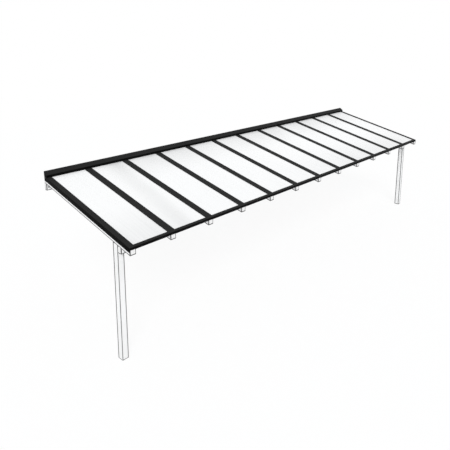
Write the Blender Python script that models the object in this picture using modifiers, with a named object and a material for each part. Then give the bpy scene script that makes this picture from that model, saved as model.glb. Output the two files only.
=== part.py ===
"""Attached patio cover: opal multiwall sheets held by aluminium glazing bars on timber rafters.

Metres, +Z up. X runs along the house wall, the wall is the plane Y = 0 and the roof falls
towards -Y. The origin is the middle of the wall plate's back face.

A section is drawn either upright, as (Y, Z), or in the roof's own slope frame, where u runs
down the slope from the wall, n stands square off the rafters' tops and x stays along the wall.
"""

import math

import bmesh
import bpy
from mathutils import Matrix, Vector

# Roof as a whole
BAYS = 12
ROOF_DEPTH = 3.0
ROOF_PITCH = math.radians(13.0)
WALL_PLATE_HEIGHT_OFF_GROUND = 2.88
CLEARANCE = 0.0003
WALL_GAP = 0.005

# Multiwall sheets
SHEET_WIDTH = 0.98
SHEET_THICKNESS = 0.016
SHEET_SIDE_GAP = 0.005
SHEET_END_GAP = 0.006

# Timber
RAFTER_WIDTH = 0.13
RAFTER_HEIGHT = 0.12
BIRDSMOUTH_HEEL = 0.03
PLATE_THICKNESS = 0.07
PLATE_HEIGHT = 0.17
POST_SIZE = 0.14
POST_SETBACK = 0.385
BEAM_WIDTH = 0.115
BEAM_HEIGHT = 0.145
ARRIS = 0.003

# Aluminium glazing bars, edge profiles and flashing
BAR_BASE_WIDTH = 0.12
BAR_BASE_THICKNESS = 0.004
BAR_PAD_WIDTH = 0.012
BAR_PAD_HEIGHT = 0.0015
BAR_WEB_THICKNESS = 0.01
BAR_WEB_WALL = 0.0025
BAR_CAP_WIDTH = 0.17
BAR_CAP_THICKNESS = 0.004
BAR_CAP_CHAMFER = 0.0025
SEAL_HEIGHT = 0.006
SEAL_LEG = 0.005
PROFILE_WALL = 0.003
SIDE_TOP_WIDTH = 0.12
SIDE_BASE_WIDTH = 0.06
SIDE_FLANGE_DROP = 0.066
FRONT_LIP = 0.065
FASCIA_DROP = 0.018
FLASHING_SHEET = 0.002
FLASHING_DEPTH = 0.1
FLASHING_RISE = 0.1
FLASHING_LIP = 0.05

# Bolts that hold the beam to the posts
BOLT_DIAMETER = 0.012
BOLT_HEAD_DIAMETER = 0.032
BOLT_HEAD_HEIGHT = 0.008
BOLT_EDGE_DISTANCE = 0.03
WASHER_DIAMETER = 0.036
WASHER_THICKNESS = 0.003
NUT_ACROSS_CORNERS = 0.022
NUT_HEIGHT = 0.01
BOLT_END_LENGTH = 0.005
BOLT_SIDES = 16

# Heights off the rafters' tops, square to the slope
BASE_TOP = CLEARANCE + BAR_BASE_THICKNESS
SHEET_BOTTOM = BASE_TOP + CLEARANCE
SHEET_TOP = SHEET_BOTTOM + SHEET_THICKNESS
SEAL_FOOT = SHEET_TOP + CLEARANCE
CAP_UNDERSIDE = SHEET_TOP + SEAL_HEIGHT
CAP_TOP = CAP_UNDERSIDE + BAR_CAP_THICKNESS

# Setting out along the wall
BAY_PITCH = SHEET_WIDTH + BAR_WEB_THICKNESS + 2 * SHEET_SIDE_GAP
INNER_HALF = (BAYS * BAY_PITCH - BAR_WEB_THICKNESS) / 2
OUTER_HALF = INNER_HALF + PROFILE_WALL
TIMBER_HALF = INNER_HALF - CLEARANCE

# Setting out down the slope
SIN, COS, TAN = math.sin(ROOF_PITCH), math.cos(ROOF_PITCH), math.tan(ROOF_PITCH)
RAFTER_TOP_AT_WALL = (
    PLATE_HEIGHT / 2
    + CLEARANCE
    - BIRDSMOUTH_HEEL
    + (PLATE_THICKNESS + CLEARANCE) * TAN
    + RAFTER_HEIGHT / COS
)
GROUND = -WALL_PLATE_HEIGHT_OFF_GROUND
FASCIA_BACK = ROOF_DEPTH - PROFILE_WALL
LIP_REAR = (ROOF_DEPTH - CAP_TOP * SIN) / COS - FRONT_LIP
POST_FRONT = ROOF_DEPTH - POST_SETBACK
BEAM_BACK = POST_FRONT + CLEARANCE
BEAM_FRONT = BEAM_BACK + BEAM_WIDTH

SLOPE = Matrix(
    (
        (1.0, 0.0, 0.0, 0.0),
        (0.0, -SIN, -COS, 0.0),
        (0.0, COS, -SIN, RAFTER_TOP_AT_WALL),
        (0.0, 0.0, 0.0, 1.0),
    )
)
ACROSS = Matrix(
    (
        (0.0, 0.0, 1.0, 0.0),
        (1.0, 0.0, 0.0, 0.0),
        (0.0, 1.0, 0.0, 0.0),
        (0.0, 0.0, 0.0, 1.0),
    )
)
INTO_WALL = Matrix.Rotation(math.radians(-90.0), 4, "X")


def height_at(run, n=0.0):
    """Z of the plane lying n off the rafters' tops, at a distance `run` out from the wall."""
    return RAFTER_TOP_AT_WALL - run * TAN + n / COS


def on_slope(u, n):
    """(Y, Z) of a point in the slope frame."""
    return (-(u * COS + n * SIN), RAFTER_TOP_AT_WALL - u * SIN + n * COS)


def upright(run, n):
    """(Y, Z) of the point n off the rafters' tops in the upright plane `run` from the wall."""
    return (-run, height_at(run, n))


BEAM_TOP = height_at(BEAM_FRONT, -RAFTER_HEIGHT) + BIRDSMOUTH_HEEL - CLEARANCE


def clear_scene():
    for obj in list(bpy.data.objects):
        bpy.data.objects.remove(obj, do_unlink=True)


def collection(name):
    made = bpy.data.collections.new(name)
    bpy.context.scene.collection.children.link(made)
    return made


def material(name, colour, roughness, metallic):
    made = bpy.data.materials.new(name)
    made.use_nodes = True
    shader = made.node_tree.nodes["Principled BSDF"]
    shader.inputs["Base Color"].default_value = (*colour, 1.0)
    shader.inputs["Roughness"].default_value = roughness
    shader.inputs["Metallic"].default_value = metallic
    made.diffuse_color = (*colour, 1.0)
    return made


def outline_mesh(name, outline, length, hole=()):
    """Mesh of a flat outline in local XY, less a hole, extruded evenly about its plane."""
    curve = bpy.data.curves.new(name, "CURVE")
    curve.dimensions = "2D"
    curve.fill_mode = "BOTH"
    curve.extrude = length / 2
    for loop in filter(None, (outline, hole)):
        spline = curve.splines.new("POLY")
        spline.points.add(len(loop) - 1)
        for point, (x, y) in zip(spline.points, loop):
            point.co = (x, y, 0.0, 1.0)
        spline.use_cyclic_u = True
    drawn = bpy.data.objects.new(name, curve)
    bpy.context.scene.collection.objects.link(drawn)
    bpy.context.view_layer.update()
    graph = bpy.context.evaluated_depsgraph_get()
    mesh = bpy.data.meshes.new_from_object(drawn.evaluated_get(graph))
    mesh.name = name
    bpy.data.objects.remove(drawn, do_unlink=True)
    bpy.data.curves.remove(curve)
    form = bmesh.new()
    form.from_mesh(mesh)
    bmesh.ops.remove_doubles(form, verts=form.verts, dist=0.00001)
    bmesh.ops.dissolve_limit(
        form, angle_limit=math.radians(0.1), verts=form.verts, edges=form.edges
    )
    bmesh.ops.recalc_face_normals(form, faces=form.faces)
    form.to_mesh(mesh)
    form.free()
    return mesh


def turned_mesh(name, profile):
    """Mesh of a profile of (radius, height) turned about local Z."""
    form = bmesh.new()
    ring = [form.verts.new((radius, 0.0, height)) for radius, height in profile]
    edges = [form.edges.new(pair) for pair in zip(ring, ring[1:])]
    bmesh.ops.spin(
        form,
        geom=ring + edges,
        cent=(0.0, 0.0, 0.0),
        axis=(0.0, 0.0, 1.0),
        angle=2 * math.pi,
        steps=BOLT_SIDES,
        use_merge=True,
        use_duplicate=False,
    )
    bmesh.ops.remove_doubles(form, verts=form.verts, dist=0.00001)
    bmesh.ops.recalc_face_normals(form, faces=form.faces)
    mesh = bpy.data.meshes.new(name)
    form.to_mesh(mesh)
    form.free()
    return mesh


def box_mesh(name, size):
    mesh = bpy.data.meshes.new(name)
    form = bmesh.new()
    bmesh.ops.create_cube(form, size=1.0)
    bmesh.ops.scale(form, vec=Vector(size), verts=form.verts)
    form.to_mesh(mesh)
    form.free()
    return mesh


def place(name, mesh, finish, matrix):
    """A piece of the roof, in its material."""
    obj = bpy.data.objects.new(name, mesh)
    obj.matrix_world = matrix
    if not mesh.materials:
        mesh.materials.append(finish)
    ROOF.objects.link(obj)
    return obj


def middle(low, high):
    return Matrix.Translation((Vector(low) + Vector(high)) / 2)


def size_of(low, high):
    return tuple(b - a for a, b in zip(low, high))


def cutter(name, low, high, matrix=None):
    """A box that only cuts, given by two corners in the frame of `matrix`."""
    obj = bpy.data.objects.new(name, box_mesh(name, size_of(low, high)))
    obj.matrix_world = (matrix or Matrix.Identity(4)) @ middle(low, high)
    return hide(obj)


def hide(obj):
    """Keeps a cutter or a form that is joined to a piece out of the render."""
    obj.hide_render = True
    obj.display_type = "WIRE"
    CUTTERS.objects.link(obj)
    return obj


def cut(obj, tool, operation="DIFFERENCE"):
    step = obj.modifiers.new(tool.name, "BOOLEAN")
    step.operation = operation
    step.solver = "EXACT"
    step.object = tool


def ease(obj, width=ARRIS):
    """Takes the sharp corner off planed timber."""
    step = obj.modifiers.new("eased_arris", "BEVEL")
    step.width = width
    step.segments = 1
    step.limit_method = "ANGLE"
    step.angle_limit = math.radians(40.0)


def mirrored(half):
    """A symmetric outline from the half of it at +x, listed from the bottom up."""
    return half + [(-x, y) for x, y in reversed(half)]


def bar_line(index):
    """X of the middle of the web between bay `index` and bay `index` + 1."""
    return (index - BAYS / 2) * BAY_PITCH


clear_scene()
ROOF = collection("patio_cover")
CUTTERS = collection("cutters")

TIMBER = material("white_painted_timber", (0.86, 0.86, 0.85), 0.55, 0.0)
ANTHRACITE = material("anthracite_aluminium", (0.028, 0.03, 0.029), 0.45, 0.0)
OPAL = material("opal_polycarbonate", (0.9, 0.91, 0.91), 0.3, 0.0)
STEEL = material("galvanised_steel", (0.5, 0.51, 0.52), 0.45, 1.0)

# Wall plate
plate_low = (-TIMBER_HALF, -PLATE_THICKNESS, -PLATE_HEIGHT / 2)
plate_high = (TIMBER_HALF, 0.0, PLATE_HEIGHT / 2)
plate_size = size_of(plate_low, plate_high)
wall_plate = place(
    "wall_plate", box_mesh("wall_plate", plate_size), TIMBER, middle(plate_low, plate_high)
)
ease(wall_plate)

# Front beam, bolted to the front of the posts
beam_low = (-TIMBER_HALF, -BEAM_FRONT, BEAM_TOP - BEAM_HEIGHT)
beam_high = (TIMBER_HALF, -BEAM_BACK, BEAM_TOP)
beam_size = size_of(beam_low, beam_high)
front_beam = place(
    "front_beam", box_mesh("front_beam", beam_size), TIMBER, middle(beam_low, beam_high)
)
ease(front_beam)

# Posts, their tops cut to the slope under the end rafters
post_outline = [
    (-POST_FRONT, GROUND),
    (-POST_FRONT + POST_SIZE, GROUND),
    upright(POST_FRONT - POST_SIZE, -RAFTER_HEIGHT - CLEARANCE),
    upright(POST_FRONT, -RAFTER_HEIGHT - CLEARANCE),
]
post_mesh = outline_mesh("post", post_outline, POST_SIZE)
posts = []
for side, name in ((-1, "post_left"), (1, "post_right")):
    at = Matrix.Translation((side * (TIMBER_HALF - POST_SIZE / 2), 0.0, 0.0))
    posts.append(place(name, post_mesh, TIMBER, at @ ACROSS))
    ease(posts[-1])

# Bolts through the beam and each post: round head in front, washer and nut behind
grip = BEAM_WIDTH + POST_SIZE + 3 * CLEARANCE
shank, washer_back = BOLT_DIAMETER / 2, grip + WASHER_THICKNESS
bolt_end = washer_back + NUT_HEIGHT + BOLT_END_LENGTH
bolt_profile = [(0.0, -BOLT_HEAD_HEIGHT)]
for step in range(1, 5):
    angle = math.radians(90.0 * step / 4)
    bolt_profile.append(
        (BOLT_HEAD_DIAMETER / 2 * math.sin(angle), -BOLT_HEAD_HEIGHT * math.cos(angle))
    )
bolt_profile += [
    (shank, 0.0),
    (shank, grip),
    (WASHER_DIAMETER / 2, grip),
    (WASHER_DIAMETER / 2, washer_back),
    (shank, washer_back),
    (shank, bolt_end),
    (0.0, bolt_end),
]
nut = bmesh.new()
bmesh.ops.create_cone(
    nut,
    cap_ends=True,
    segments=6,
    radius1=NUT_ACROSS_CORNERS / 2,
    radius2=NUT_ACROSS_CORNERS / 2,
    depth=NUT_HEIGHT + WASHER_THICKNESS / 2,
)
nut_mesh = bpy.data.meshes.new("nut_form")
nut.to_mesh(nut_mesh)
nut.free()
for side, name, post in ((-1, "left", posts[0]), (1, "right", posts[1])):
    for level, z in (
        ("upper", BEAM_TOP - BIRDSMOUTH_HEEL - BOLT_EDGE_DISTANCE),
        ("lower", BEAM_TOP - BEAM_HEIGHT + BOLT_EDGE_DISTANCE),
    ):
        x = side * (TIMBER_HALF - POST_SIZE / 2)
        at = Matrix.Translation((x, -BEAM_FRONT - CLEARANCE, z)) @ INTO_WALL
        bolt = place(
            f"beam_bolt_{name}_{level}", turned_mesh("bolt", bolt_profile), STEEL, at
        )
        form = bpy.data.objects.new(f"nut_{name}_{level}", nut_mesh)
        form.matrix_world = at @ Matrix.Translation(
            (0.0, 0.0, washer_back + (NUT_HEIGHT - WASHER_THICKNESS / 2) / 2)
        )
        hide(form)
        cut(bolt, form, "UNION")
        drill = bpy.data.objects.new(
            f"drill_{name}_{level}",
            turned_mesh(
                "drill",
                [
                    (0.0, -BOLT_HEAD_HEIGHT),
                    (shank + CLEARANCE, -BOLT_HEAD_HEIGHT),
                    (shank + CLEARANCE, bolt_end),
                    (0.0, bolt_end),
                ],
            ),
        )
        drill.matrix_world = at
        hide(drill)
        cut(front_beam, drill)
        cut(post, drill)

# Rafters, plumb cut at both ends and notched over the wall plate and the beam
rafter_outline = [
    upright(WALL_GAP, 0.0),
    upright(WALL_GAP, -RAFTER_HEIGHT),
    upright(FASCIA_BACK - CLEARANCE, -RAFTER_HEIGHT),
    upright(FASCIA_BACK - CLEARANCE, 0.0),
]
rafter_mesh = outline_mesh("rafter", rafter_outline, RAFTER_WIDTH)
grow = Vector((0.1, CLEARANCE, CLEARANCE))
seats = [
    cutter("plate_seat", Vector(plate_low) - grow, Vector(plate_high) + grow),
    cutter("beam_seat", Vector(beam_low) - grow, Vector(beam_high) + grow),
]
for index in range(BAYS + 1):
    reach = TIMBER_HALF - RAFTER_WIDTH / 2
    x = max(-reach, min(reach, bar_line(index)))
    at = Matrix.Translation((x, 0.0, 0.0))
    rafter = place(f"rafter_{index + 1:02d}", rafter_mesh, TIMBER, at @ ACROSS)
    ease(rafter)
    for seat in seats:
        cut(rafter, seat)

# Sheets, square cut, from the wall to just behind the fascia
sheet_start = WALL_GAP / COS
sheet_end = (FASCIA_BACK - SHEET_END_GAP - SHEET_TOP * SIN) / COS
sheet_mesh = box_mesh(
    "roof_sheet", (SHEET_WIDTH, SHEET_THICKNESS, sheet_end - sheet_start)
)
for index in range(BAYS):
    x = (bar_line(index) + bar_line(index + 1)) / 2
    n = (SHEET_BOTTOM + SHEET_TOP) / 2
    at = Matrix.Translation((x, n, (sheet_start + sheet_end) / 2))
    place(f"roof_sheet_{index + 1:02d}", sheet_mesh, OPAL, SLOPE @ at)

# Glazing bars: base with a seal pad under each sheet, hollow web, cap with two seal legs
bar_half = [
    (BAR_BASE_WIDTH / 2, CLEARANCE),
    (BAR_BASE_WIDTH / 2, BASE_TOP),
    (BAR_BASE_WIDTH / 2 - BAR_PAD_WIDTH, BASE_TOP),
    (BAR_BASE_WIDTH / 2 - BAR_PAD_WIDTH, BASE_TOP - BAR_PAD_HEIGHT),
    (BAR_WEB_THICKNESS / 2, BASE_TOP - BAR_PAD_HEIGHT),
    (BAR_WEB_THICKNESS / 2, CAP_UNDERSIDE),
    (BAR_CAP_WIDTH / 2 - SEAL_LEG, CAP_UNDERSIDE),
    (BAR_CAP_WIDTH / 2 - SEAL_LEG, SEAL_FOOT),
    (BAR_CAP_WIDTH / 2, SEAL_FOOT),
    (BAR_CAP_WIDTH / 2, CAP_TOP - BAR_CAP_CHAMFER),
    (BAR_CAP_WIDTH / 2 - BAR_CAP_CHAMFER, CAP_TOP),
]
bar_hollow_half = [
    (BAR_WEB_THICKNESS / 2 - BAR_WEB_WALL, BASE_TOP),
    (BAR_WEB_THICKNESS / 2 - BAR_WEB_WALL, CAP_UNDERSIDE),
]
bar_end = LIP_REAR - CLEARANCE
bar_mesh = outline_mesh(
    "glazing_bar", mirrored(bar_half), bar_end - sheet_start, mirrored(bar_hollow_half)
)
for index in range(1, BAYS):
    at = Matrix.Translation((bar_line(index), 0.0, (sheet_start + bar_end) / 2))
    place(f"glazing_bar_{index:02d}", bar_mesh, ANTHRACITE, SLOPE @ at)

# Side bars: the same section with one open side, and a flange down the end rafter
side_outline = [
    (0.0, -SIDE_FLANGE_DROP),
    (0.0, CAP_TOP - BAR_CAP_CHAMFER),
    (BAR_CAP_CHAMFER, CAP_TOP),
    (SIDE_TOP_WIDTH, CAP_TOP),
    (SIDE_TOP_WIDTH, SEAL_FOOT),
    (SIDE_TOP_WIDTH - SEAL_LEG, SEAL_FOOT),
    (SIDE_TOP_WIDTH - SEAL_LEG, CAP_UNDERSIDE),
    (PROFILE_WALL, CAP_UNDERSIDE),
    (PROFILE_WALL, BASE_TOP),
    (SIDE_BASE_WIDTH, BASE_TOP),
    (SIDE_BASE_WIDTH, CLEARANCE),
    (PROFILE_WALL, CLEARANCE),
    (PROFILE_WALL, -SIDE_FLANGE_DROP),
]
past = ROOF_DEPTH / COS + RAFTER_HEIGHT
beyond = 2 * OUTER_HALF
wall_cut = cutter("wall_cut", (-beyond, -WALL_GAP, -beyond), (beyond, beyond, beyond))
front_cut = cutter(
    "front_cut", (-beyond, -beyond, -beyond), (beyond, -ROOF_DEPTH, beyond)
)
corner_cut = cutter(
    "corner_cut",
    (-INNER_HALF, -RAFTER_HEIGHT, LIP_REAR - CLEARANCE),
    (INNER_HALF, 2 * CAP_TOP, past + beyond),
    SLOPE,
)
for side, name in ((-1, "side_bar_left"), (1, "side_bar_right")):
    section = [(side * (OUTER_HALF - x), n) for x, n in side_outline]
    at = Matrix.Translation((0.0, 0.0, past / 2))
    side_bar = place(
        name, outline_mesh(name, section, past + 2 * RAFTER_HEIGHT), ANTHRACITE, SLOPE @ at
    )
    for tool in (wall_cut, front_cut, corner_cut):
        cut(side_bar, tool)

# Front profile: lip over the sheets' ends, upright fascia, shelf on the rafters
front_outline = [
    upright(ROOF_DEPTH, CAP_TOP),
    on_slope(LIP_REAR, CAP_TOP),
    on_slope(LIP_REAR, SEAL_FOOT),
    on_slope(LIP_REAR + SEAL_LEG, SEAL_FOOT),
    on_slope(LIP_REAR + SEAL_LEG, CAP_UNDERSIDE),
    upright(FASCIA_BACK, CAP_UNDERSIDE),
    upright(FASCIA_BACK, BASE_TOP),
    on_slope(LIP_REAR, BASE_TOP),
    on_slope(LIP_REAR, CLEARANCE),
    upright(FASCIA_BACK, CLEARANCE),
    upright(FASCIA_BACK, -FASCIA_DROP),
    (-ROOF_DEPTH, height_at(FASCIA_BACK, -FASCIA_DROP)),
]
front_profile = place(
    "front_profile",
    outline_mesh("front_profile", front_outline, 2 * TIMBER_HALF),
    ANTHRACITE,
    ACROSS,
)

# Wall flashing: a folded cover from the wall down to the bars, closed at both ends
lip_foot = height_at(FLASHING_DEPTH - FLASHING_SHEET, CAP_TOP) + CLEARANCE
flashing_outline = [
    (0.0, height_at(0.0, CAP_TOP) + CLEARANCE),
    (0.0, height_at(0.0, CAP_TOP) + FLASHING_RISE),
    (-FLASHING_DEPTH, lip_foot + FLASHING_LIP),
    (-FLASHING_DEPTH, lip_foot),
    (-FLASHING_DEPTH + FLASHING_SHEET, lip_foot),
]
wall_flashing = place(
    "wall_flashing",
    outline_mesh("wall_flashing", flashing_outline, 2 * OUTER_HALF),
    ANTHRACITE,
    ACROSS,
)
fall = (FLASHING_RISE + height_at(0.0, CAP_TOP) - lip_foot - FLASHING_LIP) / FLASHING_DEPTH
inset = FLASHING_SHEET * math.sqrt(1.0 + fall * fall)
hollow_top = height_at(0.0, CAP_TOP) + FLASHING_RISE - inset
hollow_outline = [
    (-FLASHING_SHEET, lip_foot - FLASHING_RISE),
    (-FLASHING_SHEET, hollow_top - fall * FLASHING_SHEET),
    (-FLASHING_DEPTH + FLASHING_SHEET, hollow_top - fall * (FLASHING_DEPTH - FLASHING_SHEET)),
    (-FLASHING_DEPTH + FLASHING_SHEET, lip_foot - FLASHING_RISE),
]
hollow = bpy.data.objects.new(
    "flashing_hollow",
    outline_mesh("flashing_hollow", hollow_outline, 2 * (OUTER_HALF - FLASHING_SHEET)),
)
hollow.matrix_world = ACROSS
cut(wall_flashing, hide(hollow))
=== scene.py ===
"""Finishes and small parts for the attached patio cover, and the studio that it stands in.

Metres, +Z up, in the frame of the solids: X runs along the wall plate, the plate's back lies in
the plane Y = 0 and the roof falls towards -Y. On the roof, u runs down the slope from that plane
and n stands square off the rafters' tops. Upright sections are drawn as (run, z), where run is
the distance out from that plane.
"""

import math

import bmesh
import bpy
import numpy as np
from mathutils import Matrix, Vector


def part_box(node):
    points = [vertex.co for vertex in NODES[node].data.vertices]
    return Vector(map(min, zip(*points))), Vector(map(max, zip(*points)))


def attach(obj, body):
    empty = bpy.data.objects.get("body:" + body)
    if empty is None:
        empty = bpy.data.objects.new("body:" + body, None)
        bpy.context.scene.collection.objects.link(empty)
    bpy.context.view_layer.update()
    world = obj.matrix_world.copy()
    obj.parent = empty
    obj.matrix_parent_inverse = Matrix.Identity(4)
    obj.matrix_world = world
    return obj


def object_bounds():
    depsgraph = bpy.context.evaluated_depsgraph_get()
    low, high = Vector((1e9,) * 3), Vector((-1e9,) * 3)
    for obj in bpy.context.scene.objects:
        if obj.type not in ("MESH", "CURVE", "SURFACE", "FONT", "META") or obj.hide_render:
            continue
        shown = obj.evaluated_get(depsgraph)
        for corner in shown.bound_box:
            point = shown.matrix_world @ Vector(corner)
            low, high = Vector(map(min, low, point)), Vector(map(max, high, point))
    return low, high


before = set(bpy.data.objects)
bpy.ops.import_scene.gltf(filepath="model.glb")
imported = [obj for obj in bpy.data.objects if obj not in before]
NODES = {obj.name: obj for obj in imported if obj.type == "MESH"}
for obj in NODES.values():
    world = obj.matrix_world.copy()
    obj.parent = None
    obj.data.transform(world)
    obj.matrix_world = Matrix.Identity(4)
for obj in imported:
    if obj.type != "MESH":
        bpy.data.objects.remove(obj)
cad_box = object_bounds()

# Setting out, as the solids have it
BAYS = 12
PITCH = math.radians(13.0)
SIN, COS, TAN = math.sin(PITCH), math.cos(PITCH), math.tan(PITCH)
OUTER_HALF, ROOF_DEPTH, POST_FOOT = cad_box[1].x, -cad_box[0].y, cad_box[0].z
PLATE_FRONT, BEAM_BACK = -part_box("wall_plate")[0].y, -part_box("front_beam")[1].y
CLEARANCE, PROFILE_WALL = 0.0003, 0.003
RAFTER_HALF_WIDTH, RAFTER_HEIGHT = 0.065, 0.12
SHEET_WIDTH, SHEET_BOTTOM, SHEET_TOP, SHEET_START = 0.98, 0.0046, 0.0206, 0.00513
CAP_TOP, CAP_HALF = 0.0306, 0.085
SIDE_TOP_WIDTH, SIDE_FLANGE_DROP = 0.12, 0.066
FRONT_LIP, FASCIA_DROP = 0.065, 0.018
FLASHING_DEPTH, FLASHING_RISE, FLASHING_LIP, FLASHING_SHEET = 0.1, 0.1, 0.05, 0.002

FLASHING_TOP = cad_box[1].z
RAFTER_TOP_AT_REAR = FLASHING_TOP - FLASHING_RISE - CAP_TOP / COS
LIP_REAR = (ROOF_DEPTH - CAP_TOP * SIN) / COS - FRONT_LIP
SIDE_INNER = OUTER_HALF - SIDE_TOP_WIDTH
BAR_LINES = np.arange(1, BAYS) - BAYS / 2
BAY_MIDDLES = np.arange(BAYS) + 0.5 - BAYS / 2
END_RAFTER = OUTER_HALF - PROFILE_WALL - CLEARANCE - RAFTER_HALF_WIDTH
RAFTER_LINES = np.concatenate([[-END_RAFTER], BAR_LINES, [END_RAFTER]])

# The gap that seals keep, and where the flashing's straps lie
SEAL_GAP = 0.0002
STRAP_LINES = np.array([-2.0, 2.0])

# Width of the strips worn along arrises, which is more at the roof's right end, how softly they
# end and how far they lean to the wetter sides
WEAR, RIGHT_WEAR, WEAR_FADE = 0.014, 0.02, 0.004
RAFTER_LEAN = (0.0, 0.0, -0.0045)
POST_WEAR = {"post_left": WEAR, "post_right": RIGHT_WEAR}
POST_LEAN = {"post_left": (0.003, 0.01, 0.0), "post_right": (0.006, 0.004, 0.0)}

ALONG_PLATE = np.array([1.0, 0.0, 0.0])
OUT = np.array([0.0, -1.0, 0.0])
UP = np.array([0.0, 0.0, 1.0])
DOWN_SLOPE = np.array([0.0, -COS, -SIN])
OFF_SLOPE = np.array([0.0, -SIN, COS])


def height_at(run, n=0.0):
    """Z of the plane lying n off the rafters' tops, at a distance `run` out from Y = 0."""
    return RAFTER_TOP_AT_REAR - run * TAN + n / COS


def on_roof(x, u, n):
    """Points of the roof: x along the plate, u down the slope and n square off the rafters' tops.

    Each is x * (1, 0, 0) + u * down the slope + n * off the slope, from the rafters' top edge
    at its upper end.
    """
    x, u, n = (np.asarray(value, float)[..., None] for value in np.broadcast_arrays(x, u, n))
    return RAFTER_TOP_AT_REAR * UP + x * ALONG_PLATE + u * DOWN_SLOPE + n * OFF_SLOPE


def upright(x, run, z):
    """Points at x along the wall plate, `run` out from its back and z above the origin."""
    x, run, z = (np.asarray(value, float)[..., None] for value in np.broadcast_arrays(x, run, z))
    return x * ALONG_PLATE + run * OUT + z * UP


FLASHING_FOOT = height_at(FLASHING_DEPTH - FLASHING_SHEET, CAP_TOP) + CLEARANCE
FLASHING_FOLD = FLASHING_FOOT + FLASHING_LIP
FLASHING_FALL = (FLASHING_TOP - FLASHING_FOLD) / FLASHING_DEPTH


class Wire:
    """A socket in a material's node tree. Arithmetic on wires adds Math nodes to the tree."""

    def __init__(self, tree, socket=None):
        self.tree, self.socket = tree, socket

    def node(self, kind, settings, sockets, output=0):
        """Adds a node: first its settings, then the values or wires of its sockets."""
        made = self.tree.nodes.new("ShaderNode" + kind)
        for name, value in settings.items():
            setattr(made, name, value)
        for key, value in sockets.items():
            if isinstance(value, Wire):
                self.tree.links.new(value.socket, made.inputs[key])
            else:
                made.inputs[key].default_value = value
        return Wire(self.tree, made.outputs[output])

    def math(self, operation, *values):
        return self.node("Math", {"operation": operation}, dict(enumerate(values)))

    def __add__(self, other):
        return self.math("ADD", self, other)

    def __radd__(self, other):
        return self.math("ADD", other, self)

    def __sub__(self, other):
        return self.math("SUBTRACT", self, other)

    def __rsub__(self, other):
        return self.math("SUBTRACT", other, self)

    def __mul__(self, other):
        return self.math("MULTIPLY", self, other)

    def __rmul__(self, other):
        return self.math("MULTIPLY", other, self)

    def __truediv__(self, other):
        return self.math("DIVIDE", self, other)

    def __rtruediv__(self, other):
        return self.math("DIVIDE", other, self)

    def __abs__(self):
        return self.math("ABSOLUTE", self)

    def least(self, other):
        return self.math("MINIMUM", self, other)

    def most(self, other):
        return self.math("MAXIMUM", self, other)

    def past(self, step):
        """How far this wire has gone from the last multiple of `step` to the next, 0 to 1."""
        return self.math("FRACT", self / step)

    def rises(self, low, high, start=0.0, end=1.0):
        """A smooth step from `start` to `end` as this wire goes from `low` to `high`."""
        return self.node(
            "MapRange",
            {"interpolation_type": "SMOOTHSTEP"},
            {"Value": self, "From Min": low, "From Max": high, "To Min": start, "To Max": end},
        )

    def stretched(self, x, y, z):
        """This point with its three parts multiplied by x, y and z."""
        return self.node("VectorMath", {"operation": "MULTIPLY"}, {0: self, 1: (x, y, z)})

    def parts(self):
        """The X, Y and Z of this point or direction."""
        split = self.node("SeparateXYZ", {}, {0: self})
        return [Wire(self.tree, socket) for socket in split.socket.node.outputs]

    def noise(self, scale, detail=3.0, roughness=0.5, distortion=0.0):
        """Soft noise about 0.5 at this point."""
        sockets = {
            "Vector": self,
            "Scale": scale,
            "Detail": detail,
            "Roughness": roughness,
            "Distortion": distortion,
        }
        return self.node("TexNoise", {}, sockets)

    def cells(self, scale, output):
        """Voronoi cells at this point: `output` is Distance or Color."""
        return self.node("TexVoronoi", {}, {"Vector": self, "Scale": scale}, output)

    def blend(self, first, second):
        """A colour from `first` where this wire is 0 to `second` where it is 1."""
        return self.node("Mix", {"data_type": "RGBA"}, {0: self, 6: first, 7: second}, 2)

    def bump(self, distance, strength=1.0):
        """The surface's normal, bent by this wire as a height of up to `distance`."""
        return self.node(
            "Bump", {}, {"Height": self, "Distance": distance, "Strength": strength}, "Normal"
        )


def finish(name, constants):
    """A material with constants on its shader: returns it and a wire to start from."""
    made = bpy.data.materials.new(name)
    made.use_nodes = True
    shader = made.node_tree.nodes["Principled BSDF"]
    for socket, value in constants.items():
        shader.inputs[socket].default_value = value
    return made, Wire(made.node_tree)


def feed(made, **wires):
    """Links wires to the sockets of a material's shader."""
    shader = made.node_tree.nodes["Principled BSDF"]
    for name, wire in wires.items():
        made.node_tree.links.new(wire.socket, shader.inputs[name.replace("_", " ")])
    return made


def place_of(wire):
    return wire.node("TexCoord", {}, {}, "Object")


def facing_of(wire):
    return wire.node("TexCoord", {}, {}, "Normal")


def grey(value, warm=0.0):
    """A near-neutral colour, warmer or cooler by a small share."""
    return (value * (1 + warm), value, value * (1 - warm), 1.0)


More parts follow.
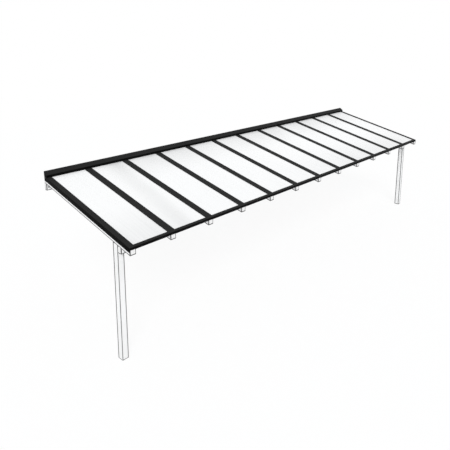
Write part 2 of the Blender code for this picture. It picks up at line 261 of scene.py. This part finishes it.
def painted_timber(name, middle, half, long_axis, tilt=0.0, wear=WEAR, lean=(0.0, 0.0, 0.0)):
    """White paint on a planed member: brushed grain, faint knots, porous ends, grey arrises.

    `middle` and `half` are the member's centre and half sizes along its own axes, and `tilt`
    turns those about X to lie in the slope. The distance to the nearest arris is the middle
    one of the three distances to the member's sides and end. The strips worn along the arrises
    are `wear` wide, and `lean` moves them off centre, so that they are wider on the arrises
    that dry last.
    """
    made, start = finish(name, {"Specular IOR Level": 0.3})
    place = place_of(start)
    from_middle = place.node("VectorMath", {"operation": "SUBTRACT"}, {0: place, 1: middle})
    own = from_middle.node(
        "VectorRotate", {"rotation_type": "X_AXIS"}, {"Vector": from_middle, "Angle": tilt}
    )
    across = [axis for axis in range(3) if axis != long_axis]
    first, second = [half[axis] - abs(own.parts()[axis] + lean[axis]) for axis in across]
    end = half[long_axis] - abs(from_middle.parts()[long_axis])
    arris = first.least(second).most(first.most(second).least(end))
    worn = arris.rises(wear, wear + WEAR_FADE, 1.0, 0.0)
    cut_end = end.rises(0.0002, 0.0012, 1.0, 0.0)

    squeeze = [1.0, 1.0, 1.0]
    squeeze[long_axis] = 0.022
    fibres = own.stretched(*squeeze)
    streaks = fibres.noise(95.0, 4.0, 0.6, 0.4)
    bands = fibres.noise(22.0, 2.0, 0.5, 0.8)
    squeeze[long_axis] = 0.35
    spots = own.stretched(*squeeze)
    chosen = spots.cells(7.0, "Color").parts()[0].rises(0.78, 0.8)
    knots = spots.cells(7.0, "Distance").rises(0.05, 0.13, 1.0, 0.0) * chosen
    pores = own.noise(420.0, 2.0).rises(0.5, 0.75)

    paint = place.noise(1.3, 3.0).rises(0.35, 0.65).blend(grey(0.9, 0.003), grey(0.94))
    paint = (streaks.rises(0.35, 0.75) * 0.08).blend(paint, grey(0.6, 0.02))
    paint = (knots * 0.16).blend(paint, (0.62, 0.54, 0.42, 1.0))
    paint = (cut_end * (0.1 + pores * 0.2)).blend(paint, (0.5, 0.48, 0.45, 1.0))
    bare = streaks.rises(0.3, 0.7).blend(grey(0.055), grey(0.11, 0.01))
    paint = (worn * (0.9 + bands.rises(0.3, 0.7) * 0.1)).blend(paint, bare)

    gloss = 0.5 + streaks * 0.12 + worn * 0.2 + cut_end * 0.2
    relief = streaks * 0.6 + bands * 0.4 - knots * 0.3 - pores * cut_end * 0.6
    return feed(made, Base_Color=paint, Roughness=gloss, Normal=relief.bump(0.0006, 0.4))


def powder_coat(name):
    """Matt anthracite powder coat with fine orange peel: painted light makes the upward faces
    paler, painted shade makes the upright ones near black, and dust varies the tops.
    """
    made, start = finish(name, {"Specular IOR Level": 0.05})
    place = place_of(start)
    # Painted light: the share of light painted onto faces as they turn upwards
    painted_light_on_top = facing_of(start).parts()[2].rises(0.3, 0.8)
    peel = place.noise(520.0, 2.0, 0.6)
    dust = place.noise(3.0, 4.0, 0.6)
    runs = place.stretched(1.0, 0.03, 0.03).noise(70.0, 3.0)
    film = (dust * 0.5 + runs * 0.5).rises(0.38, 0.62)
    # Near black is the painted shade of the sides, dark grey the painted light of the tops, varied
    # by dust
    colour = (painted_light_on_top * (0.8 + film * 0.2)).blend(grey(0.0016), (0.0173, 0.0176, 0.0175, 1.0))
    gloss = 0.5 + film * 0.1 + peel * 0.06
    relief = peel * 0.7 + dust * 0.3
    return feed(made, Base_Color=colour, Roughness=gloss, Normal=relief.bump(0.0002, 0.4))


def opal_sheet(name):
    """Opal multiwall polycarbonate: smooth skins over upright ribs, running downhill.

    Painted shade greys the sheets below the flashing, from the second bay on, and behind the
    fascia, in the first bay and more and more towards the right-hand ones. A soft painted
    reflection runs down the second bay, soft clouds of painted reflection lie over all the sheets,
    and faint runs go down the slope.
    """
    made, start = finish(name, {"Specular IOR Level": 0.4})
    place = place_of(start)
    x, y, _ = place.parts()
    rib_spacing = 0.02
    rib = abs(x.past(rib_spacing) - 0.5).rises(0.41, 0.47)
    # Painted shade: the sheets turn grey below the flashing and behind the fascia
    painted_shade_below_flashing = y.rises(-1.25, -0.08) * x.rises(-5.4, -3.4)
    front_share = x.rises(-5.15, -4.75, 0.9, 0.0) + x.rises(-2.5, 3.2, 0.08, 1.0)
    painted_shade_behind_fascia = y.rises(-2.98, -1.6, 1.0, 0.0) * front_share
    # Painted reflections: a soft band down the second bay and soft clouds over all the sheets
    painted_reflection_band = abs(x - y * 0.1 + 4.35).rises(0.03, 0.38, 1.0, 0.0)
    painted_reflection_clouds = place.stretched(1.0, 0.5, 0.5).noise(1.1, 2.0, 0.4).rises(0.35, 0.7)
    runs = place.stretched(1.0, 0.03, 0.03).noise(16.0, 2.0, 0.5).rises(0.4, 0.7)
    # One share of grey: the painted shade and painted reflections, with the faint runs
    painted_shade_reflection_and_runs = painted_shade_below_flashing * (0.32 + painted_reflection_clouds * 0.14) + painted_shade_behind_fascia * (0.26 + runs * 0.14)
    painted_shade_reflection_and_runs = painted_shade_reflection_and_runs + painted_reflection_band * (0.2 + painted_reflection_clouds * 0.14) + painted_reflection_clouds * 0.03 + runs * 0.03
    # The grey is the colour of the painted shade and painted reflections; the white is the sheets'
    # own
    colour = painted_shade_reflection_and_runs.blend((0.953, 0.953, 0.95, 1.0), (0.61, 0.61, 0.605, 1.0))
    colour = (rib * 0.35).blend(colour, (0.6, 0.62, 0.62, 1.0))
    haze = place.noise(2.5, 2.0, 0.4)
    gloss = 0.22 + haze * 0.12 + rib * 0.05
    relief = haze * 0.8 + rib * 0.2
    return feed(made, Base_Color=colour, Roughness=gloss, Normal=relief.bump(0.0004, 0.3))


def galvanised_steel(name):
    """Hot-dip zinc: crystals that differ a little in tone and gloss."""
    made, start = finish(name, {"Metallic": 1.0})
    place = place_of(start)
    crystal = place.cells(190.0, "Color").parts()[0]
    grain = place.noise(700.0, 2.0)
    colour = crystal.blend((0.42, 0.43, 0.44, 1.0), (0.6, 0.61, 0.62, 1.0))
    gloss = 0.32 + crystal * 0.16 + grain * 0.08
    return feed(made, Base_Color=colour, Roughness=gloss, Normal=grain.bump(0.0002, 0.3))


def foil_tape(name):
    """Aluminium foil tape: a bright skin with fine cross lines and soft creases."""
    made, start = finish(name, {"Metallic": 1.0})
    place = place_of(start)
    line_spacing = 0.004
    weave = abs(place.parts()[0].past(line_spacing) - 0.5)
    crease = place.noise(60.0, 3.0, 0.6, 1.0)
    colour = crease.blend(grey(0.6), grey(0.74))
    gloss = 0.28 + weave * 0.16 + crease * 0.1
    relief = weave * 0.3 + crease * 0.7
    return feed(made, Base_Color=colour, Roughness=gloss, Normal=relief.bump(0.0004, 0.5))


def black_rubber(name, gloss):
    """Black rubber or sealant: a dull skin with fine pits and a little dust."""
    made, start = finish(name, {"Specular IOR Level": 0.25})
    place = place_of(start)
    pits = place.noise(900.0, 2.0)
    dust = place.noise(25.0, 3.0).rises(0.45, 0.75)
    colour = (dust * 0.5).blend(grey(0.004), grey(0.016, 0.02))
    sheen = gloss + dust * 0.15
    return feed(made, Base_Color=colour, Roughness=sheen, Normal=pits.bump(0.0002, 0.4))


def dress(name, made):
    """Gives a solid its finish."""
    slots = NODES[name].material_slots
    for slot in slots:
        slot.material = made
    if not slots:
        NODES[name].data.materials.append(made)


def middle_of(name):
    """Centre and half sizes of a solid's box."""
    low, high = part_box(name)
    return (low + high) / 2, (high - low) / 2


# Timber
for name in ("wall_plate", "front_beam"):
    dress(name, painted_timber(f"paint_{name}", *middle_of(name), 0))
for name, wear in POST_WEAR.items():
    made = painted_timber(f"paint_{name}", *middle_of(name), 2, 0.0, wear, POST_LEAN[name])
    dress(name, made)
for index, wear in enumerate(np.linspace(WEAR, RIGHT_WEAR, BAYS + 1), 1):
    name = f"rafter_{index:02d}"
    middle, half = middle_of(name)
    middle.z = height_at(-middle.y, -RAFTER_HEIGHT / 2)
    size = (RAFTER_HALF_WIDTH, half.y, RAFTER_HEIGHT / 2)
    made = painted_timber(f"paint_{name}", middle, size, 1, -PITCH, wear, RAFTER_LEAN)
    dress(name, made)

# Aluminium, sheets and bolts
COAT = powder_coat("anthracite_powder_coat")
OPAL = opal_sheet("opal_polycarbonate_sheet")
STEEL = galvanised_steel("galvanised_fixings")
TAPE = foil_tape("foil_edge_tape")
RUBBER = black_rubber("black_rubber_seal", 0.62)
SEALANT = black_rubber("black_wall_sealant", 0.38)
for name in NODES:
    if name.startswith(("glazing_bar", "side_bar", "front_profile", "wall_flashing")):
        dress(name, COAT)
    elif name.startswith("roof_sheet"):
        dress(name, OPAL)
    elif name.startswith("beam_bolt"):
        dress(name, STEEL)


def mesh_of(name, points, quads, ends=None):
    """A mesh from points, four-cornered faces and flat end faces, closed and facing out."""
    faces = [quads] if ends is None else [quads, ends]
    corners = np.concatenate([face.ravel() for face in faces]).astype(np.int32)
    counts = np.concatenate([np.full(len(face), face.shape[1]) for face in faces])
    mesh = bpy.data.meshes.new(name)
    mesh.vertices.add(len(points))
    mesh.vertices.foreach_set("co", points.astype(np.float32).ravel())
    mesh.loops.add(len(corners))
    mesh.loops.foreach_set("vertex_index", corners)
    mesh.polygons.add(len(counts))
    mesh.polygons.foreach_set("loop_start", (np.cumsum(counts) - counts).astype(np.int32))
    mesh.update(calc_edges=True)
    form = bmesh.new()
    form.from_mesh(mesh)
    bmesh.ops.remove_doubles(form, verts=form.verts, dist=0.000001)
    bmesh.ops.recalc_face_normals(form, faces=form.faces)
    form.to_mesh(mesh)
    form.free()
    return mesh


def fix(mesh, made):
    """A new piece of the roof in its finish."""
    mesh.materials.append(made)
    piece = bpy.data.objects.new(mesh.name, mesh)
    bpy.context.scene.collection.objects.link(piece)
    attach(piece, "root")


def strips(name, outline, starts, ends, side, out):
    """Mesh of straight strips of one section, one for each pair of starts and ends.

    A corner (a, b) of the section lies at start + a * side + b * out and again at
    end + a * side + b * out; four-cornered faces join the two rings and a flat face closes
    each end. `side` may differ from strip to strip.
    """
    outline = np.asarray(outline, float)
    line = np.stack(np.broadcast_arrays(starts, ends), axis=1)
    side = np.broadcast_to(side, (len(line), 3))[:, None]
    section = outline[:, :1] * side + outline[:, 1:] * out
    points = line[:, :, None] + section[:, None]
    count = len(outline)
    number = np.arange(len(line) * 2 * count).reshape(-1, 2, count)
    first, last = number[:, 0], number[:, 1]
    quads = np.stack([first, np.roll(first, -1, 1), np.roll(last, -1, 1), last], axis=-1)
    return mesh_of(name, points.reshape(-1, 3), quads.reshape(-1, 4), number.reshape(-1, count))


def turnings(name, profile, centres, axis, sides):
    """Mesh of one turned form about `axis` at every centre.

    Its points are centre + height * axis + radius * (cos t * across + sin t * over), with the
    angle t in even steps and (radius, height) along the profile, which starts and ends on the
    axis.
    """
    radius, height = np.asarray(profile, float).T[..., None, None]
    angle = (np.arange(sides)[:, None] + 0.5) * 2 * math.pi / sides
    spoke = np.cos(angle) * ALONG_PLATE + np.sin(angle) * np.cross(axis, ALONG_PLATE)
    form = height * np.asarray(axis) + radius * spoke
    points = np.asarray(centres)[:, None, None] + form
    number = np.arange(len(centres) * form.shape[0] * sides).reshape(-1, form.shape[0], sides)
    low, high = number[:, :-1], number[:, 1:]
    quads = np.stack([low, np.roll(low, -1, 2), np.roll(high, -1, 2), high], axis=-1)
    return mesh_of(name, points.reshape(-1, 3), quads.reshape(-1, 4))


def arc(centre, radii, low, high, count):
    """Points of an ellipse's arc from angle `low` to `high`, in degrees."""
    t = np.radians(np.linspace(low, high, count))
    return np.stack([centre[0] + radii[0] * np.cos(t), centre[1] + radii[1] * np.sin(t)], 1)


def domed_head(radius, height, washer=0.0):
    """Profile of a low domed head, on a flat washer of the given thickness if there is one."""
    foot = [(0.0, 0.0)]
    if washer:
        wide = radius * 1.5
        foot += [(wide, 0.0), (wide, washer * 0.6), (wide - washer * 0.6, washer)]
    return np.concatenate([foot, arc((0.0, washer), (radius, height), 0, 90, 7)])


def bent_strip(start, corner, end, radius, thickness):
    """The section of a strip of sheet metal bent once.

    Its middle line runs from `start` to a curve at the corner and on to `end`; the section is
    that line moved half the thickness square off itself, first to one side, then back along
    the other.
    """
    start, corner, end = (np.array(point, float) for point in (start, corner, end))
    into = corner + (start - corner) / np.linalg.norm(start - corner) * radius
    off = corner + (end - corner) / np.linalg.norm(end - corner) * radius
    t = np.linspace(0, 1, 7)[:, None]
    curve = (1 - t) ** 2 * into + 2 * t * (1 - t) * corner + t**2 * off
    along = (1 - t) * (corner - into) + t * (off - corner)
    line = np.concatenate([[start], curve, [end]])
    along = np.concatenate([along[:1], along, along[-1:]])
    along /= np.linalg.norm(along, axis=1)[:, None]
    square = np.stack([-along[:, 1], along[:, 0]], 1) * thickness / 2
    return np.concatenate([line + square, (line - square)[::-1]])


def between_caps(gap=0.0):
    """X of both ends of the clear width of each bay, between the caps and the side bars."""
    left = np.concatenate([[-SIDE_INNER], BAR_LINES + CAP_HALF]) + gap
    right = np.concatenate([BAR_LINES - CAP_HALF, [SIDE_INNER]]) - gap
    return left, right


def sheet_seals():
    """Rubber lips that show as a fine black line where caps and front lip press the sheets.

    The section is a flat foot with an elliptical back, carried down both edges of each bay and
    along the rear edge of the front lip.
    """
    heel, width, height = -0.0015, 0.0028, 0.0052
    back = arc((0.0, SEAL_GAP), (width, height), 0, 90, 7)
    lip = [(heel, SEAL_GAP), *back, (heel, SEAL_GAP + height)]
    left, right = between_caps()
    x = np.concatenate([left, right])
    turn = np.repeat([1.0, -1.0], BAYS)[:, None]
    top, foot = on_roof(x, 0.1, SHEET_TOP), on_roof(x, LIP_REAR, SHEET_TOP)
    fix(strips("cap_seals", lip, top, foot, turn * ALONG_PLATE, OFF_SLOPE), RUBBER)
    ends = on_roof(left, LIP_REAR, SHEET_TOP), on_roof(right, LIP_REAR, SHEET_TOP)
    fix(strips("front_lip_seals", lip, *ends, -DOWN_SLOPE, OFF_SLOPE), RUBBER)


def flashing_seals():
    """Foam strips that fill the gap under the flashing's lip between one cap and the next.

    The section follows the sheet below it, stands upright behind the lip and bulges a little
    to the front.
    """
    back, front = FLASHING_DEPTH - 0.012, FLASHING_DEPTH - 0.0025
    low, high = height_at(front, SHEET_TOP) + SEAL_GAP, FLASHING_FOOT
    top = high + 0.006
    bulge = arc((front, (low + high) / 2), (0.0018, (high - low) / 2), -90, 90, 7)
    heel = (back, height_at(back, SHEET_TOP) + SEAL_GAP)
    section = [heel, *bulge, (front, top), (back, top)]
    left, right = between_caps(0.0005)
    ends = upright(left, 0.0, 0.0), upright(right, 0.0, 0.0)
    fix(strips("flashing_seals", section, *ends, OUT, UP), RUBBER)


def wall_sealant():
    """A bead of sealant behind the flashing's upper edge, flat towards the plane Y = 0."""
    width, height, edge = 0.0088, 0.0108, 0.0085
    bead = arc((SEAL_GAP, FLASHING_TOP - 0.006), (width, height), 88, 2, 9)
    face = [(edge, FLASHING_TOP - edge * FLASHING_FALL - 0.0004), (SEAL_GAP, FLASHING_TOP - 0.001)]
    ends = upright([-OUTER_HALF], 0.0, 0.0), upright([OUTER_HALF], 0.0, 0.0)
    fix(strips("wall_sealant", [*bead, *face], *ends, OUT, UP), SEALANT)


def flashing_joints():
    """Straps folded over the flashing where its lengths meet, each held by four rivets.

    A strap's middle line is the flashing's outer face moved half a thickness off it.
    """
    half_width, thick = 0.045, 0.0012
    square = math.sqrt(1.0 + FLASHING_FALL**2)
    out, off = FLASHING_DEPTH + thick / 2, thick / 2 * square
    start = (0.012, FLASHING_TOP - 0.012 * FLASHING_FALL + off)
    corner = (out, FLASHING_TOP - out * FLASHING_FALL + off)
    section = bent_strip(start, corner, (out, FLASHING_FOOT + 0.002), 0.003, thick)
    left, right = STRAP_LINES - half_width, STRAP_LINES + half_width
    ends = upright(left, 0.0, 0.0), upright(right, 0.0, 0.0)
    fix(strips("flashing_joint_straps", section, *ends, OUT, UP), COAT)
    beside, runs = np.array([-0.03, 0.03]), np.array([0.03, 0.078])
    x, run = np.meshgrid((STRAP_LINES[:, None] + beside).ravel(), runs)
    z = FLASHING_TOP - run * FLASHING_FALL + 2 * off
    axis = (FLASHING_FALL * OUT + UP) / square
    rivets = upright(x.ravel(), run.ravel(), z.ravel())
    heads = turnings("flashing_rivets", domed_head(0.004, 0.0016), rivets, axis, 10)
    fix(heads, COAT)


def coated_screws():
    """Low domed screws on washers, evenly down each cap, and one in each rafter's end."""
    first, spacing, clear_of_lip = 0.26, 0.3, 0.05
    side_line = OUTER_HALF - SIDE_TOP_WIDTH / 2
    lines = np.concatenate([[-side_line], BAR_LINES, [side_line]])
    x, u = np.meshgrid(lines, np.arange(first, LIP_REAR - clear_of_lip, spacing))
    head = domed_head(0.005, 0.0031, 0.0016)
    caps = turnings("cap_screws", head, on_roof(x.ravel(), u.ravel(), CAP_TOP), OFF_SLOPE, 12)
    fix(caps, COAT)
    z = height_at(ROOF_DEPTH, -FASCIA_DROP / 2)
    at = upright(RAFTER_LINES, ROOF_DEPTH, z)
    fascia = turnings("fascia_screws", domed_head(0.0038, 0.002, 0.001), at, OUT, 12)
    fix(fascia, COAT)


def side_beads():
    """Ribs rolled along the side bars' flanges: a flattened half round, carried down the slope."""
    root, height, half_width = -0.0005, 0.0024, 0.0045
    back = arc((0.0, 0.0), (height, half_width), -90, 90, 9)
    rib = [(root, -half_width), *back, (root, half_width)]
    sides = np.array([-1.0, 1.0])
    x = np.tile(sides * OUTER_HALF, 2)
    n = np.repeat([-0.018, 0.0055 - SIDE_FLANGE_DROP], 2)
    first_run, last_run = 0.03, ROOF_DEPTH - 0.004
    top = on_roof(x, (first_run - n * SIN) / COS, n)
    foot = on_roof(x, (last_run - n * SIN) / COS, n)
    side = np.tile(sides, 2)[:, None] * ALONG_PLATE
    fix(strips("side_bar_ribs", rib, top, foot, side, OFF_SLOPE), COAT)


def end_tapes():
    """Foil tape over the open flutes at the sheets' upper ends."""
    u, low, high = SHEET_START - 0.0001, SHEET_BOTTOM, SHEET_TOP
    edge, face, fold, half_width = u - 0.0005, u - 0.0007, 0.0005, SHEET_WIDTH / 2 - 0.001
    tape = [(u, low), (u, high), (edge, high), (face, high - fold), (face, low + fold), (edge, low)]
    left, right = BAY_MIDDLES - half_width, BAY_MIDDLES + half_width
    ends = on_roof(left, 0.0, 0.0), on_roof(right, 0.0, 0.0)
    fix(strips("sheet_end_tapes", tape, *ends, DOWN_SLOPE, OFF_SLOPE), TAPE)


def wall_bolts():
    """Hexagon bolts on wide washers that hold the wall plate, two to a bay, staggered."""
    beside, above = 0.22, 0.034
    x = np.concatenate([BAY_MIDDLES - beside, BAY_MIDDLES + beside])
    at = upright(x, PLATE_FRONT, np.repeat([above, -above], BAYS))
    washer = [(0.0, 0.0), (0.018, 0.0), (0.0185, 0.0006), (0.0185, 0.0024), (0.018, 0.003)]
    head = [(0.0, 0.003), (0.011, 0.003), (0.011, 0.0092), (0.0095, 0.0104), (0.0, 0.0105)]
    washers = turnings("wall_bolt_washers", [*washer, (0.0, 0.003)], at, OUT, 28)
    fix(washers, STEEL)
    fix(turnings("wall_bolt_heads", head, at, OUT, 6), STEEL)


def rafter_brackets():
    """Bent steel angles under the rafters, on the wall plate's face and the beam's back face."""
    thick, half_width, leg = 0.0025, 0.03, 0.085
    screw, beside, first, second = domed_head(0.0052, 0.0034), 0.016, 0.035, 0.068
    for name, face, way, lines in (
        ("plate", PLATE_FRONT, 1, RAFTER_LINES),
        ("beam", BEAM_BACK, -1, BAR_LINES),
    ):
        stand = face + way * thick / 2
        corner = (stand, height_at(stand, -RAFTER_HEIGHT) - thick / 2)
        tip = stand + way * leg
        section = bent_strip(
            (stand, corner[1] - leg),
            corner,
            (tip, height_at(tip, -RAFTER_HEIGHT) - thick / 2),
            0.006,
            thick,
        )
        ends = upright(lines - half_width, 0.0, 0.0), upright(lines + half_width, 0.0, 0.0)
        angle = strips(f"{name}_brackets", section, *ends, OUT, UP)
        fix(angle, STEEL)
        x = np.tile(np.concatenate([lines - beside, lines + beside]), 2)
        drop = np.repeat([first, second], 2 * len(lines))
        run = stand + way * drop
        faces = upright(x, face + way * thick, corner[1] - drop)
        soffits = upright(x, run, height_at(run, -RAFTER_HEIGHT) - thick / COS)
        standing = turnings(f"{name}_bracket_screws", screw, faces, way * OUT, 10)
        fix(standing, STEEL)
        lying = turnings(f"{name}_bracket_soffit_screws", screw, soffits, -OFF_SLOPE, 10)
        fix(lying, STEEL)


def show(tree, shader, output):
    """Links a shader to a new output node."""
    tree.links.new(shader.socket, tree.nodes.new(output).inputs["Surface"])


def floor():
    """A pale round floor: points radius * (cos t, sin t) at the posts' feet, in rings ever wider.

    The camera sees it fade into the white round it, with a light shadow of the object, and sees
    through it from below; other rays meet plain pale paint.
    """
    rings, spokes, edge = 48, 96, 90.0
    radius = (np.linspace(0.0, 1.0, rings) ** 1.6 * edge)[:, None]
    angle = np.arange(spokes) * 2 * math.pi / spokes
    x, y = radius * np.cos(angle), radius * np.sin(angle)
    points = np.stack([x, y, np.full_like(x, POST_FOOT)], axis=-1).reshape(-1, 3)
    number = np.arange(rings * spokes).reshape(rings, spokes)
    inner, outer = number[:-1], number[1:]
    quads = np.stack([inner, outer, np.roll(outer, -1, 1), np.roll(inner, -1, 1)], axis=-1)
    mesh = mesh_of("studio_floor", points, quads.reshape(-1, 4))
    mesh.flip_normals()
    made = bpy.data.materials.new("studio_floor_paint")
    made.use_nodes = True
    made.node_tree.nodes.clear()
    start = Wire(made.node_tree)
    seen = start.node("LightPath", {}, {}, "Is Camera Ray")
    place = place_of(start)
    distance = place.node("VectorMath", {"operation": "LENGTH"}, {0: place}, "Value")
    plain = start.node("BsdfDiffuse", {}, {"Color": grey(0.8)})
    shadow_share = 0.13
    shaded = start.node("BsdfDiffuse", {}, {"Color": grey(shadow_share)})
    lit = start.node("Emission", {}, {"Color": grey(1.0), "Strength": 1.0 - shadow_share})
    white = start.node("Emission", {}, {"Color": grey(1.0), "Strength": 1.0})
    near = start.node("AddShader", {}, {0: shaded, 1: lit})
    fade_start, fade_end = 13.0, 36.0
    fade = distance.rises(fade_start, fade_end)
    far = start.node("MixShader", {}, {0: fade, 1: near, 2: white})
    below = start.node("NewGeometry", {}, {}, "Backfacing")
    clear = start.node("BsdfTransparent", {}, {})
    open_below = start.node("MixShader", {}, {0: below, 1: far, 2: clear})
    shown = start.node("MixShader", {}, {0: seen, 1: plain, 2: open_below})
    show(made.node_tree, shown, "ShaderNodeOutputMaterial")
    mesh.materials.append(made)
    piece = bpy.data.objects.new("studio_floor", mesh)
    bpy.context.scene.collection.objects.link(piece)


def light():
    """A soft sun from the front left, and an even sky that rays see as plain white."""
    lamp = bpy.data.lights.new("soft_sun", "SUN")
    lamp.energy = 1.64
    lamp.angle = math.radians(25.0)
    sun = bpy.data.objects.new("soft_sun", lamp)
    sun.rotation_euler = (math.radians(55.0), 0.0, math.radians(-45.0))
    bpy.context.scene.collection.objects.link(sun)

    world = bpy.data.worlds.new("even_sky")
    world.use_nodes = True
    world.node_tree.nodes.clear()
    start = Wire(world.node_tree)
    seen = start.node("LightPath", {}, {}, "Is Camera Ray")
    mirrored = Wire(world.node_tree, seen.socket.node.outputs["Is Glossy Ray"])
    refracted = Wire(world.node_tree, seen.socket.node.outputs["Is Transmission Ray"])
    sky = start.node("Background", {}, {"Color": (0.97, 0.985, 1.0, 1.0), "Strength": 0.7})
    white = start.node("Background", {}, {"Color": grey(1.0), "Strength": 1.0})
    direct = seen.most(mirrored).most(refracted)
    mixed = start.node("MixShader", {}, {0: direct, 1: sky, 2: white})
    show(world.node_tree, mixed, "ShaderNodeOutputWorld")
    bpy.context.scene.world = world


def camera():
    """The camera, above and to the left of the roof's front edge.

    Its focal length, and the row of the picture that it points at, are in pixels.
    """
    picture, focal_length, axis_row = 450, 495.039, 134.899
    lens = bpy.data.cameras.new("camera")
    lens.sensor_width = 36.0
    lens.lens = focal_length / picture * lens.sensor_width
    lens.shift_y = (axis_row - picture / 2) / picture
    lens.clip_end = 400.0
    eye = bpy.data.objects.new("camera", lens)
    eye.location = (-10.67109, -9.72273, 3.25812)
    eye.rotation_euler = (math.radians(78.0), 0.0, -0.81147)
    bpy.context.scene.collection.objects.link(eye)
    bpy.context.scene.camera = eye
    bpy.context.scene.view_settings.view_transform = "Standard"


sheet_seals()
flashing_seals()
wall_sealant()
flashing_joints()
coated_screws()
side_beads()
end_tapes()
wall_bolts()
rafter_brackets()
floor()
light()
camera()
